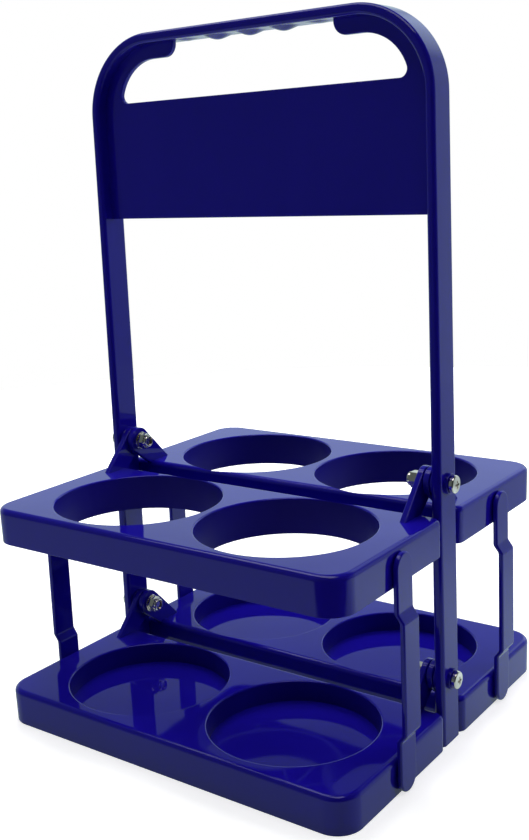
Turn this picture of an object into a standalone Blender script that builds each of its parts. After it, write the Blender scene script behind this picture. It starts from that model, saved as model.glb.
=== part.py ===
"""Folding bottle carrier for four sports bottles.

One moulded carry frame stands on its two legs. Four half trays, two above and two
below, hinge on four screws that cross the legs. Four outside links tie each upper
tray to the lower tray under it, so that both swing up together against the frame.
"""

import math

import bmesh
import bpy
from mathutils import Matrix, Vector

# All sizes are in metres. X runs across the carrier, Y from front to rear, Z up.

# Bottle places
bottle_hole_radius = 0.0400
recess_step = 0.0010
recess_floor_height = 0.0070
hole_to_hole_web = 0.0046
hole_inner_rim = 0.0010
hole_outer_rim = 0.0052
hole_side_rim = 0.0147
hole_rim_chamfer = 0.0004

# Clearances
seat_gap = 0.0003
shaft_clearance = 0.0003
pin_clearance = 0.0003
ear_gap = 0.0004
link_gap = 0.0004
cut_overrun = 0.0020
weld_distance = 0.00001
least_corner_radius = 0.0003

# Carry frame
leg_half_depth = 0.0073
leg_setback = 0.0016
leg_thickness = 0.0041
frame_height = 0.3263
handle_thickness = 0.0039
frame_corner_radius = 0.0380
frame_edge_fillet = 0.0012
web_thickness = 0.0030
web_edge_fillet = 0.0006
panel_height = 0.0570
hand_opening_height = 0.0280
hand_opening_end_radius = 0.0224
hand_opening_end_shift = 0.0011
hand_opening_corner_radius = 0.0036
shoulder_depth = 0.0081
shoulder_radius = 0.0062
shoulder_length = 0.0126
finger_pitch = 0.0186
finger_ridge_depth = 0.0029
end_ridge_depth = 0.0011
ridge_sharpness_share = 1.3
ridge_inset = 0.0006
ridge_sink = 0.0003
boss_radius = 0.0064
outer_boss_height = 0.0018
inner_boss_height = 0.0016
boss_edge_chamfer = 0.0004

# Half trays
tray_height = 0.0170
tray_pitch = 0.0908
pivot_above_deck = 0.0132
tray_corner_radius = 0.0120
tray_inner_corner_radius = 0.0034
tray_side_draft = 0.0003
tray_top_fillet = 0.0025
tray_inner_fillet = 0.0012
tray_wall = 0.0020
deck_thickness = 0.0020
collar_wall = 0.0018
rib_thickness = 0.0016
recess_floor_thickness = 0.0020
ear_thickness = 0.0030
ear_end_radius = 0.0067
ear_foot_reach = 0.0220
ear_setback = 0.0002
ear_edge_chamfer = 0.0004

# Side links
link_pin_reach = 0.0480
link_pin_height = 0.0076
link_width = 0.0128
link_thickness = 0.0024
link_offset = 0.0026
link_end_overhang = 0.0006
link_upper_land = 0.0180
link_lower_land = 0.0170
link_joggle_run = 0.0035
link_edge_chamfer = 0.0004
pin_radius = 0.0030
pin_lip_radius = 0.0037
pin_lip_land = 0.0004
pin_tip_radius = 0.0026
pin_tip_length = 0.0016
pin_slot_width = 0.0010
pin_slot_length = 0.0036

# Pivot screws, washers and locking nuts
screw_radius = 0.0020
screw_length = 0.0200
screw_point_chamfer = 0.0004
screw_head_radius = 0.0040
screw_head_height = 0.0025
screw_head_rounding = 0.0015
cross_recess_width = 0.0044
cross_recess_blade = 0.0012
cross_recess_depth = 0.0014
cross_recess_foot_share = 0.6
washer_radius = 0.0045
washer_thickness = 0.0008
nut_across_flats = 0.0070
nut_hex_height = 0.0034
nut_height = 0.0050
nut_collar_radius = 0.0031
nut_chamfer = 0.0004

# Steps on round forms
hole_steps = 48
tray_corner_steps = 5
inner_corner_steps = 3
tray_fillet_steps = 3
frame_corner_steps = 8
frame_fillet_steps = 2
web_fillet_steps = 1
opening_steps = 7
shoulder_steps = 5
ridge_steps = 7
ridge_arch_steps = 8
ear_steps = 9
link_steps = 7
boss_steps = 20
bore_steps = 12
fastener_steps = 16
head_steps = 3
nut_sides = 6
sharp_angle = math.radians(35)
rim_angle = math.radians(60)

# Colours of the moulding and of the plated steel
moulding_blue = (0.018, 0.019, 0.127, 1.0)
plated_steel = (0.62, 0.62, 0.64, 1.0)
moulding_roughness = 0.12
steel_roughness = 0.22

# Places that follow from the sizes
bottle_recess_radius = bottle_hole_radius - recess_step
hole_x = bottle_hole_radius + hole_to_hole_web / 2
tray_inner_reach = leg_half_depth + seat_gap
hole_y = tray_inner_reach + hole_inner_rim + bottle_hole_radius
tray_half_width = hole_x + bottle_hole_radius + hole_side_rim
tray_outer_reach = hole_y + bottle_hole_radius + hole_outer_rim
pivot_above_base = tray_height + pivot_above_deck
leg_half_span = tray_half_width - leg_setback
leg_inner_face = leg_half_span - leg_thickness
handle_underside = frame_height - handle_thickness
corner_x = leg_half_span - frame_corner_radius
corner_z = frame_height - frame_corner_radius
grip_half_length = corner_x - shoulder_length
ridge_half_width = leg_half_depth - ridge_inset
hand_opening_floor = handle_underside - hand_opening_height
panel_foot = hand_opening_floor - panel_height
outer_boss_face = leg_half_span + outer_boss_height
inner_boss_face = leg_inner_face - inner_boss_height
screw_seat = outer_boss_face + seat_gap
outer_ear_start = inner_boss_face - seat_gap - ear_thickness
inner_ear_start = outer_ear_start - ear_gap - ear_thickness
washer_seat = inner_ear_start - seat_gap
nut_seat = washer_seat - washer_thickness - seat_gap
link_inner_face = tray_half_width + link_gap
bore_radius = screw_radius + shaft_clearance
storeys = (("lower", pivot_above_base), ("upper", pivot_above_base + tray_pitch))
sides = (("left", -1), ("right", 1))


def empty_file():
    """Remove every object and return the collections for the carrier and for its cutters."""
    for old in list(bpy.data.objects):
        bpy.data.objects.remove(old, do_unlink=True)
    carrier = bpy.data.collections.new("bottle_carrier")
    cutters = bpy.data.collections.new("cutters")
    bpy.context.scene.collection.children.link(carrier)
    bpy.context.scene.collection.children.link(cutters)
    return carrier, cutters


def arc(centre, radius, start, end, steps):
    """Points along an arc, from one angle to another in degrees, both ends included."""
    points = []
    for step in range(steps + 1):
        angle = math.radians(start + (end - start) * step / steps)
        points.append((centre[0] + radius * math.cos(angle), centre[1] + radius * math.sin(angle)))
    return points


def mirrored(points):
    """A half outline that starts at the right, followed by its mirror image at the left."""
    return points + [(-across, up) for across, up in reversed(points)]


def prism(outline, plane, start, end):
    """Extrude a closed outline, drawn in one plane, from start to end along the third axis."""
    order = {"XY": (0, 1, 2), "XZ": (0, 2, 1), "YZ": (1, 2, 0)}[plane]
    bm = bmesh.new()
    corners = []
    for first, second in outline:
        spot = [0.0, 0.0, 0.0]
        spot[order[0]] = first
        spot[order[1]] = second
        spot[order[2]] = start
        corners.append(bm.verts.new(spot))
    extruded = bmesh.ops.extrude_face_region(bm, geom=[bm.faces.new(corners)])
    travel = Vector((0.0, 0.0, 0.0))
    travel[order[2]] = end - start
    far_side = [item for item in extruded["geom"] if isinstance(item, bmesh.types.BMVert)]
    bmesh.ops.translate(bm, verts=far_side, vec=travel)
    bmesh.ops.recalc_face_normals(bm, faces=bm.faces[:])
    return bm


def round_rims(bm, axis, width, segments, lowest=None):
    """Bevel the edges of a prism's two end faces, above a given height if there is one."""
    rims = []
    for edge in bm.edges:
        level = abs((edge.verts[0].co - edge.verts[1].co)[axis]) < width / 100
        raised = lowest is None or max(vert.co.z for vert in edge.verts) > lowest
        if level and raised and edge.calc_face_angle(0.0) > rim_angle:
            rims.append(edge)
    bmesh.ops.bevel(bm, geom=rims, offset=width, segments=segments, profile=0.5, affect="EDGES")


def loft(rings):
    """Skin a stack of closed rings that have the same number of points, and cap both ends."""
    bm = bmesh.new()
    loops = [[bm.verts.new(point) for point in ring] for ring in rings]
    count = len(rings[0])
    for low, high in zip(loops, loops[1:]):
        for at in range(count):
            following = (at + 1) % count
            bm.faces.new((low[at], low[following], high[following], high[at]))
    bm.faces.new(loops[0][::-1])
    bm.faces.new(loops[-1])
    bmesh.ops.recalc_face_normals(bm, faces=bm.faces[:])
    return bm


def rods(centres, radius, length, steps):
    """Round bars along X, all of one length, about the given centres."""
    bm = bmesh.new()
    for centre in centres:
        turn = Matrix.Translation(centre) @ Matrix.Rotation(math.radians(90), 4, "Y")
        bmesh.ops.create_cone(
            bm, cap_ends=True, segments=steps, radius1=radius, radius2=radius, depth=length, matrix=turn
        )
    return bm


def bars(centres, size, angles):
    """Upright bars of one size, each turned about Z by its own angle in degrees."""
    bm = bmesh.new()
    for centre, angle in zip(centres, angles):
        turn = Matrix.Translation(centre) @ Matrix.Rotation(math.radians(angle), 4, "Z")
        bmesh.ops.create_cube(bm, size=1.0, matrix=turn @ Matrix.Diagonal((*size, 1.0)))
    return bm


def as_object(name, bm, collection):
    """Put a finished bmesh into the file as an object."""
    mesh = bpy.data.meshes.new(name)
    bm.to_mesh(mesh)
    bm.free()
    placed = bpy.data.objects.new(name, mesh)
    collection.objects.link(placed)
    return placed


def as_tool(name, bm, cutters):
    """Put a bmesh into the file as a tool for Boolean modifiers, out of the render."""
    tool = as_object(name, bm, cutters)
    tool.hide_render = True
    tool.display_type = "WIRE"
    return tool


def baked(source):
    """The mesh of an object with all its modifiers worked in."""
    seen = source.evaluated_get(bpy.context.evaluated_depsgraph_get())
    return bpy.data.meshes.new_from_object(seen)


def turned(profile, cutters, steps=fastener_steps, closed=False):
    """Spin a profile of radii and heights about Z and return it as a bmesh."""
    bm = bmesh.new()
    spots = [bm.verts.new((radius, 0.0, height)) for radius, height in profile]
    for start, end in zip(spots, spots[1:]):
        bm.edges.new((start, end))
    if closed:
        bm.edges.new((spots[-1], spots[0]))
    blank = as_object("profile", bm, cutters)
    spin = blank.modifiers.new("spin", "SCREW")
    spin.axis = "Z"
    spin.steps = steps
    spin.render_steps = steps
    spin.use_merge_vertices = True
    spin.merge_threshold = weld_distance
    mesh = baked(blank)
    bpy.data.objects.remove(blank, do_unlink=True)
    bm = bmesh.new()
    bm.from_mesh(mesh)
    bpy.data.meshes.remove(mesh)
    bmesh.ops.recalc_face_normals(bm, faces=bm.faces[:])
    return bm


def copies(bm, turns):
    """Repeat a bmesh at several places, given as matrices, in one new bmesh."""
    single = bpy.data.meshes.new("single")
    bm.to_mesh(single)
    bm.free()
    joined = bmesh.new()
    for turn in turns:
        known = len(joined.verts)
        joined.from_mesh(single)
        joined.verts.ensure_lookup_table()
        bmesh.ops.transform(joined, matrix=turn, verts=joined.verts[known:])
    bpy.data.meshes.remove(single)
    return joined


def combine(target, tool, operation):
    """Add an exact Boolean modifier."""
    change = target.modifiers.new(tool.name, "BOOLEAN")
    change.operation = operation
    change.solver = "EXACT"
    change.object = tool


def finished(rough, collection, names_and_places, colour, roughness, metallic):
    """Place a shaped piece under each of its names, with a material of its own."""
    mesh = baked(rough)
    bpy.data.objects.remove(rough, do_unlink=True)
    mesh.shade_smooth()
    mesh.set_sharp_from_angle(angle=sharp_angle)
    for name, place, turn in names_and_places:
        surface = bpy.data.materials.new(name + "_surface")
        surface.use_nodes = True
        shader = surface.node_tree.nodes["Principled BSDF"]
        shader.inputs["Base Color"].default_value = colour
        shader.inputs["Roughness"].default_value = roughness
        shader.inputs["Metallic"].default_value = metallic
        own_mesh = mesh.copy()
        own_mesh.materials.clear()
        own_mesh.materials.append(surface)
        piece = bpy.data.objects.new(name, own_mesh)
        piece.location = place
        piece.rotation_euler = (0.0, 0.0, math.radians(turn))
        collection.objects.link(piece)
    bpy.data.meshes.remove(mesh)


def grip_ridge(across):
    """How far the grip's underside drops between two fingers at a place along it."""
    middle = abs(across) < 1.5 * finger_pitch
    depth = finger_ridge_depth if middle else end_ridge_depth
    wave = (1 + math.cos(2 * math.pi * across / finger_pitch)) / 2
    return depth * wave ** ridge_sharpness_share


def grip_ridges():
    """The ridges between the fingers, which arch from the handle's front to its rear."""
    steps = round(2 * grip_half_length / finger_pitch * ridge_steps)
    heart = handle_underside + handle_thickness / 2
    rings = []
    for step in range(steps + 1):
        across = grip_half_length * (2 * step / steps - 1)
        crest = grip_ridge(across) + ridge_sink
        ring = []
        for point in range(ridge_arch_steps + 1):
            share = 2 * point / ridge_arch_steps - 1
            drop = crest * math.cos(math.pi * share / 2) - ridge_sink
            ring.append((across, share * ridge_half_width, handle_underside - drop))
        ring.append((across, ridge_half_width, heart))
        ring.append((across, -ridge_half_width, heart))
        rings.append(ring)
    return loft(rings)


def frame_band_outline():
    """The legs and the handle as one bent band."""
    outside = [(leg_half_span, 0.0)]
    outside += arc((corner_x, corner_z), frame_corner_radius, 0, 90, frame_corner_steps)
    inner_radius = frame_corner_radius - leg_thickness
    inner_z = handle_underside - inner_radius
    inside = [(leg_inner_face, 0.0)]
    inside += arc((corner_x, inner_z), inner_radius, 0, 90, frame_corner_steps)
    return mirrored(outside) + mirrored(inside)[::-1]


def frame_web_outline():
    """The panel and the web round the hand opening, with its edge inside the band."""
    mid_leg = leg_half_span - leg_thickness / 2
    mid_radius = frame_corner_radius - leg_thickness / 2
    end_z = handle_underside - shoulder_depth - hand_opening_end_radius
    corner_up = hand_opening_floor + hand_opening_corner_radius - end_z
    corner_reach = hand_opening_end_radius - hand_opening_corner_radius
    corner_out = math.sqrt(corner_reach**2 - corner_up**2)
    lean = math.degrees(math.atan2(corner_up, corner_out))
    shoulder_x = grip_half_length + shoulder_radius
    shoulder_z = handle_underside - shoulder_depth + shoulder_radius
    half = [(mid_leg, panel_foot)]
    half += arc((corner_x, corner_z), mid_radius, 0, 90, frame_corner_steps)
    half += [(grip_half_length, corner_z + mid_radius)]
    half += arc((shoulder_x, shoulder_z), shoulder_radius, 180, 270, shoulder_steps)
    end_x = corner_x + hand_opening_end_shift
    half += arc((end_x, end_z), hand_opening_end_radius, 90, lean, opening_steps)
    corner = (end_x + corner_out, end_z + corner_up)
    half += arc(corner, hand_opening_corner_radius, lean, -90, inner_corner_steps)[1:]
    return mirrored(half)


def make_frame(carrier, cutters):
    """The carry frame: band, web and panel, screw bosses and their bores."""
    band = prism(frame_band_outline(), "XZ", -leg_half_depth, leg_half_depth)
    round_rims(band, 1, frame_edge_fillet, frame_fillet_steps, lowest=frame_edge_fillet)
    frame = as_object("frame_band", band, carrier)
    web = prism(frame_web_outline(), "XZ", -web_thickness / 2, web_thickness / 2)
    round_rims(web, 1, web_edge_fillet, web_fillet_steps)
    combine(frame, as_tool("frame_web", web, cutters), "UNION")
    combine(frame, as_tool("grip_ridges", grip_ridges(), cutters), "UNION")
    rim = boss_radius - boss_edge_chamfer
    profile = [
        (0.0, outer_boss_face),
        (rim, outer_boss_face),
        (boss_radius, outer_boss_face - boss_edge_chamfer),
        (boss_radius, inner_boss_face + boss_edge_chamfer),
        (rim, inner_boss_face),
        (0.0, inner_boss_face),
    ]
    turns = []
    for _, pivot in storeys:
        for _, side in sides:
            aim = Matrix.Rotation(math.radians(90 * side), 4, "Y")
            turns.append(Matrix.Translation((0.0, 0.0, pivot)) @ aim)
    bosses = copies(turned(profile, cutters, boss_steps), turns)
    combine(frame, as_tool("frame_bosses", bosses, cutters), "UNION")
    reach = 2 * (outer_boss_face + cut_overrun)
    bores = rods([(0.0, 0.0, pivot) for _, pivot in storeys], bore_radius, reach, bore_steps)
    combine(frame, as_tool("frame_bores", bores, cutters), "DIFFERENCE")
    place = [("carry_frame", (0.0, 0.0, 0.0), 0)]
    finished(frame, carrier, place, moulding_blue, moulding_roughness, 0.0)


def tray_ring(height, side_inset, inner_inset):
    """Plan of the front half tray at one height, inset on its outer sides and inner side."""
    right = tray_half_width - side_inset
    outer = -tray_outer_reach + side_inset
    inner = -tray_inner_reach - inner_inset
    outer_radius = tray_corner_radius - side_inset
    inner_radius = max(tray_inner_corner_radius - inner_inset, least_corner_radius)
    half = arc((right - inner_radius, inner - inner_radius), inner_radius, 90, 0, inner_corner_steps)
    half += arc((right - outer_radius, outer + outer_radius), outer_radius, 0, -90, tray_corner_steps)
    return [(across, along, height) for across, along in mirrored(half)]


def tray_block():
    """The tray's outer skin as a solid block, drafted outward and rounded at the top."""
    base = -pivot_above_base
    deck = -pivot_above_deck
    rings = [tray_ring(base, tray_side_draft, 0.0)]
    for step in range(tray_fillet_steps + 1):
        angle = math.radians(90 * step / tray_fillet_steps)
        inset = 1 - math.cos(angle)
        height = deck - tray_top_fillet + tray_top_fillet * math.sin(angle)
        rings.append(tray_ring(height, tray_top_fillet * inset, tray_inner_fillet * inset))
    return loft(rings)


def tray_pocket(name, hole_wall_radius, cutters):
    """The hollow under a tray's deck, which leaves its walls, hole collars and ribs."""
    base = -pivot_above_base - cut_overrun
    ceiling = -pivot_above_deck - deck_thickness
    skin = tray_wall + tray_side_draft
    pocket = as_tool(name, loft([tray_ring(z, skin, tray_wall) for z in (base, ceiling)]), cutters)
    collar_radius = hole_wall_radius + collar_wall
    profile = [
        (0.0, ceiling + cut_overrun),
        (collar_radius, ceiling + cut_overrun),
        (collar_radius, base - cut_overrun),
        (0.0, base - cut_overrun),
    ]
    places = [Matrix.Translation((side * hole_x, -hole_y, 0.0)) for _, side in sides]
    collars = copies(turned(profile, cutters, hole_steps), places)
    combine(pocket, as_tool(name + "_collars", collars, cutters), "DIFFERENCE")
    middle = (base + ceiling) / 2
    depth = 2 * (ceiling - base)
    length = 2 * math.hypot(tray_half_width - hole_x, tray_outer_reach - hole_y)
    centres = [(0.0, -hole_y, middle)]
    angles = [90]
    for _, side in sides:
        for lean in (45, -45):
            centres.append((side * hole_x, -hole_y, middle))
            angles.append(lean)
    for number, (centre, angle) in enumerate(zip(centres, angles)):
        rib = bars([centre], (length, rib_thickness, depth), [angle])
        combine(pocket, as_tool(f"{name}_rib_{number}", rib, cutters), "DIFFERENCE")
    return pocket


def ear_outline():
    """Side view of a hinge ear: a round end on the pivot that spreads down to the deck."""
    root = -pivot_above_deck - deck_thickness / 2
    front_foot = (-ear_foot_reach, -pivot_above_deck)
    rear_foot = (-tray_inner_reach - ear_setback, -pivot_above_deck)
    touch = []
    for foot, side in ((front_foot, -1), (rear_foot, 1)):
        distance = math.hypot(foot[0], foot[1])
        bearing = math.degrees(math.atan2(foot[1], foot[0])) % 360
        touch.append(bearing + side * math.degrees(math.acos(ear_end_radius / distance)))
    start, end = touch[0], touch[1] - 360
    outline = [(front_foot[0], root), front_foot]
    outline += arc((0.0, 0.0), ear_end_radius, start, end, ear_steps)
    return outline + [rear_foot, (rear_foot[0], root)]


def tray_ears(cutters):
    """The pair of ears on the front tray: the left one outside, the right one inside."""
    left = prism(ear_outline(), "YZ", -outer_ear_start - ear_thickness, -outer_ear_start)
    right = prism(ear_outline(), "YZ", inner_ear_start, inner_ear_start + ear_thickness)
    tools = []
    for name, ear in (("outer_ear", left), ("inner_ear", right)):
        round_rims(ear, 0, ear_edge_chamfer, 1)
        tools.append(as_tool(name, ear, cutters))
    return tools


def bottle_cut(radius, foot, cutters):
    """Cutter for a bottle hole or recess in the right half, chamfered at the deck."""
    deck = -pivot_above_deck
    mouth = radius + hole_rim_chamfer
    profile = [
        (0.0, deck + cut_overrun),
        (mouth, deck + cut_overrun),
        (mouth, deck),
        (radius, deck - hole_rim_chamfer),
        (radius, foot),
        (0.0, foot),
    ]
    places = [Matrix.Translation((side * hole_x, -hole_y, 0.0)) for _, side in sides]
    return copies(turned(profile, cutters, hole_steps), places)


def floor_pocket(cutters):
    """The hollows under the two recess floors, each crossed by two ribs."""
    base = -pivot_above_base
    ceiling = base + recess_floor_height - recess_floor_thickness
    profile = [
        (0.0, ceiling),
        (bottle_recess_radius, ceiling),
        (bottle_recess_radius, base - cut_overrun),
        (0.0, base - cut_overrun),
    ]
    places = [Matrix.Translation((side * hole_x, -hole_y, 0.0)) for _, side in sides]
    hollows = as_tool("floor_hollows", copies(turned(profile, cutters, hole_steps), places), cutters)
    centres = [(side * hole_x, -hole_y, base) for _, side in sides]
    size = (2 * (bottle_recess_radius + cut_overrun), rib_thickness, 2 * recess_floor_height)
    for number, angle in enumerate((0, 90)):
        ribs = as_tool(f"floor_ribs_{number}", bars(centres, size, (angle, angle)), cutters)
        combine(hollows, ribs, "DIFFERENCE")
    return hollows


def make_trays(carrier, cutters):
    """The four half trays: a through-hole pair above and a recessed pair below."""
    ears = tray_ears(cutters)
    bores = rods([(0.0, 0.0, 0.0)], bore_radius, 2 * leg_inner_face, bore_steps)
    bore_tool = as_tool("ear_bores", bores, cutters)
    wall_middle = tray_half_width - tray_wall / 2
    pin_z = link_pin_height - pivot_above_base
    pin_spots = [(side * wall_middle, -link_pin_reach, pin_z) for _, side in sides]
    pin_cut = rods(pin_spots, pin_radius + pin_clearance, 2 * tray_wall + cut_overrun, bore_steps)
    pin_tool = as_tool("link_pin_holes", pin_cut, cutters)
    floor = recess_floor_height - pivot_above_base
    through = -pivot_above_base - cut_overrun
    for storey, pivot in storeys:
        lower = storey == "lower"
        radius = bottle_recess_radius if lower else bottle_hole_radius
        tray = as_object(storey + "_tray_block", tray_block(), carrier)
        combine(tray, tray_pocket(storey + "_pocket", radius, cutters), "DIFFERENCE")
        if lower:
            combine(tray, floor_pocket(cutters), "DIFFERENCE")
        cut = bottle_cut(radius, floor if lower else through, cutters)
        combine(tray, as_tool(storey + "_bottle_cut", cut, cutters), "DIFFERENCE")
        for ear in ears:
            combine(tray, ear, "UNION")
        combine(tray, bore_tool, "DIFFERENCE")
        combine(tray, pin_tool, "DIFFERENCE")
        places = []
        for end, turn in (("front", 0), ("rear", 180)):
            places.append((f"{end}_{storey}_tray", (0.0, 0.0, pivot), turn))
        finished(tray, carrier, places, moulding_blue, moulding_roughness, 0.0)


def link_strap(cutters):
    """A right-hand side link about its upper pin: a joggled strap with round ends."""
    half_width = link_width / 2
    low_centre = -tray_pitch - link_end_overhang
    top = link_end_overhang + half_width
    foot = low_centre - half_width
    heights = (
        top,
        -link_upper_land,
        -link_upper_land - link_joggle_run,
        link_lower_land + link_joggle_run - tray_pitch,
        link_lower_land - tray_pitch,
        foot,
    )
    shifts = (0.0, 0.0, link_offset, link_offset, 0.0, 0.0)
    inner = list(zip(shifts, heights))
    outer = [(shift + link_thickness, height) for shift, height in inner]
    overrun = half_width + cut_overrun
    strap = prism(inner + outer[::-1], "XZ", -overrun, overrun)
    ends = arc((0.0, link_end_overhang), half_width, 0, 180, link_steps)
    ends += arc((0.0, low_centre), half_width, 180, 360, link_steps)
    shape = prism(ends, "YZ", -cut_overrun, link_offset + link_thickness + cut_overrun)
    link = as_object("link_strap", strap, cutters)
    combine(link, as_tool("link_ends", shape, cutters), "INTERSECT")
    soften = link.modifiers.new("rims", "BEVEL")
    soften.limit_method = "ANGLE"
    soften.angle_limit = rim_angle
    soften.width = link_edge_chamfer
    soften.segments = 1
    return link


def snap_pins(cutters):
    """The link's two split pins, which snap through the trays' side walls."""
    root = link_thickness / 2
    neck = -link_gap - tray_wall - pin_clearance
    lip = neck - pin_lip_land
    tip = lip - pin_tip_length
    profile = [
        (0.0, root),
        (pin_radius, root),
        (pin_radius, neck),
        (pin_lip_radius, neck),
        (pin_lip_radius, lip),
        (pin_tip_radius, tip),
        (0.0, tip),
    ]
    places = []
    for height in (0.0, -tray_pitch):
        aim = Matrix.Rotation(math.radians(90), 4, "Y")
        places.append(Matrix.Translation((0.0, 0.0, height)) @ aim)
    pins = copies(turned(profile, cutters, bore_steps), places)
    centres = [(tip, 0.0, height) for height in (0.0, -tray_pitch)]
    size = (2 * pin_slot_length, 2 * (pin_lip_radius + cut_overrun), pin_slot_width)
    slots = bars(centres, size, (0, 0))
    return as_tool("snap_pins", pins, cutters), as_tool("pin_slots", slots, cutters)


def make_links(carrier, cutters):
    """Four equal links, two at each side, hung on the upper trays' pins."""
    link = link_strap(cutters)
    pins, slots = snap_pins(cutters)
    combine(link, pins, "UNION")
    combine(link, slots, "DIFFERENCE")
    height = tray_pitch + link_pin_height
    places = []
    for end, way in (("front", -1), ("rear", 1)):
        for name, side in sides:
            spot = (side * link_inner_face, way * link_pin_reach, height)
            places.append((f"{end}_{name}_link", spot, 0 if side > 0 else 180))
    finished(link, carrier, places, moulding_blue, moulding_roughness, 0.0)


def fastener_places(kind, reach):
    """Names and places of one kind of fastener at the four pivots."""
    places = []
    for storey, pivot in storeys:
        for name, side in sides:
            spot = (side * reach, 0.0, pivot)
            places.append((f"{storey}_{name}_{kind}", spot, 0 if side > 0 else 180))
    return places


def lay_along_x(bm):
    """Turn a form that stands on Z so that it points along X, away from the middle."""
    bmesh.ops.rotate(bm, matrix=Matrix.Rotation(math.radians(90), 3, "Y"), verts=bm.verts[:])
    return bm


def make_screws(carrier, cutters):
    """Pan-head machine screws with a cross recess, their heads on the outer bosses."""
    shoulder = screw_head_radius - screw_head_rounding
    crown = screw_head_height - screw_head_rounding
    profile = [(0.0, screw_head_height)]
    profile += arc((shoulder, crown), screw_head_rounding, 90, 0, head_steps)
    profile += [
        (screw_head_radius, 0.0),
        (screw_radius, 0.0),
        (screw_radius, screw_point_chamfer - screw_length),
        (screw_radius - screw_point_chamfer, -screw_length),
        (0.0, -screw_length),
    ]
    screw = as_object("screw_blank", lay_along_x(turned(profile, cutters)), carrier)
    wide = cross_recess_width / 2
    blade = cross_recess_blade / 2
    cross = []
    for quarter in range(4):
        turn = Matrix.Rotation(math.radians(90 * quarter), 2)
        for point in ((wide, -blade), (wide, blade), (blade, blade)):
            cross.append(tuple(turn @ Vector(point)))
    recess = prism(cross, "XY", screw_head_height - cross_recess_depth, screw_head_height + cut_overrun)
    for vert in recess.verts:
        if vert.co.z < screw_head_height:
            vert.co.x *= cross_recess_foot_share
            vert.co.y *= cross_recess_foot_share
    combine(screw, as_tool("cross_recess", lay_along_x(recess), cutters), "DIFFERENCE")
    places = fastener_places("screw", screw_seat)
    finished(screw, carrier, places, plated_steel, steel_roughness, 1.0)


def make_washers(carrier, cutters):
    """Plain washers between the inner ears and the nuts."""
    profile = [
        (washer_radius, 0.0),
        (washer_radius, -washer_thickness),
        (bore_radius, -washer_thickness),
        (bore_radius, 0.0),
    ]
    ring = lay_along_x(turned(profile, cutters, closed=True))
    washer = as_object("washer_blank", ring, carrier)
    places = fastener_places("washer", washer_seat)
    finished(washer, carrier, places, plated_steel, steel_roughness, 1.0)


def make_nuts(carrier, cutters):
    """Locking nuts: a chamfered hexagon with a round collar round the screw's end."""
    flat = nut_across_flats / 2
    corner = flat / math.cos(math.pi / nut_sides)
    blank = bmesh.new()
    middle = Matrix.Translation((0.0, 0.0, -nut_hex_height / 2))
    bmesh.ops.create_cone(
        blank, cap_ends=True, segments=nut_sides, radius1=corner, radius2=corner,
        depth=nut_hex_height, matrix=middle,
    )
    nut = as_object("nut_blank", lay_along_x(blank), carrier)
    trim = [
        (0.0, cut_overrun),
        (flat - cut_overrun, cut_overrun),
        (corner, -nut_chamfer),
        (corner, nut_chamfer - nut_hex_height),
        (flat, -nut_hex_height),
        (flat, -nut_hex_height - cut_overrun),
        (0.0, -nut_hex_height - cut_overrun),
    ]
    combine(nut, as_tool("nut_trim", lay_along_x(turned(trim, cutters)), cutters), "INTERSECT")
    collar = [
        (0.0, -nut_hex_height / 2),
        (nut_collar_radius, -nut_hex_height / 2),
        (nut_collar_radius, nut_chamfer - nut_height),
        (nut_collar_radius - nut_chamfer, -nut_height),
        (0.0, -nut_height),
    ]
    combine(nut, as_tool("nut_collar", lay_along_x(turned(collar, cutters)), cutters), "UNION")
    bore = rods([(0.0, 0.0, 0.0)], bore_radius, 2 * (nut_height + cut_overrun), fastener_steps)
    combine(nut, as_tool("nut_bore", bore, cutters), "DIFFERENCE")
    places = fastener_places("lock_nut", nut_seat)
    finished(nut, carrier, places, plated_steel, steel_roughness, 1.0)


def main():
    """Build the whole carrier, standing unfolded on the ground plane."""
    carrier, cutters = empty_file()
    make_frame(carrier, cutters)
    make_trays(carrier, cutters)
    make_links(carrier, cutters)
    make_screws(carrier, cutters)
    make_washers(carrier, cutters)
    make_nuts(carrier, cutters)


main()
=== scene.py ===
# %% [markdown]
# # A folding bottle carrier in glossy blue plastic
#
# The carrier holds four sports bottles. A tall grip frame stands on two legs. Four half trays
# hinge on four screws that cross the legs, and four side links tie each upper tray to the lower
# tray under it, so that everything folds up flat against the frame.
#
# The engineering model is loaded first and stays where it is. It has every piece, but few facets.
# A polished moulding is a mirror, and a mirror shows every facet, so each piece is drawn again
# here with finer fillets and then stands for its node in the engineering model.

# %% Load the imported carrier
import math

import bmesh
import bpy
from mathutils import Matrix, Vector


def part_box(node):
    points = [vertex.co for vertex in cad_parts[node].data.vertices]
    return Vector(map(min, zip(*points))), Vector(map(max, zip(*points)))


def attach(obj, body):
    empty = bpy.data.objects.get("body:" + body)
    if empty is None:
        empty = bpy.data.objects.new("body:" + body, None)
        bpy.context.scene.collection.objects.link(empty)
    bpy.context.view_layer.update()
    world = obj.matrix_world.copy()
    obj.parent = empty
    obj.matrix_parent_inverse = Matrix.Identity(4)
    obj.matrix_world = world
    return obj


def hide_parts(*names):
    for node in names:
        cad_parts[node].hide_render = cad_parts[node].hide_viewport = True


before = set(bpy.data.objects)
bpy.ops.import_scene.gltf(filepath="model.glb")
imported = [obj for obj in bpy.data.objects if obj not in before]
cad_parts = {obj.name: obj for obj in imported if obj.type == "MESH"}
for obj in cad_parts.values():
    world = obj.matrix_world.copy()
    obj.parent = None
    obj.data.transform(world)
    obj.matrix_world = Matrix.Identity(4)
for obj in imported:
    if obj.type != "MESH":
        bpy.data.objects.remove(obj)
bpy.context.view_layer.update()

metre = 1000

# %% [markdown]
# ## The drawing board
#
# All drawings are in millimetres, because mouldings and screws are sized in them. A metre, the
# unit of the file, is 1000 of them, and one scale at the end turns a drawing into metres. The
# places of the big pieces are read from the engineering model, so that the drawings can't drift
# away from it.

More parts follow.
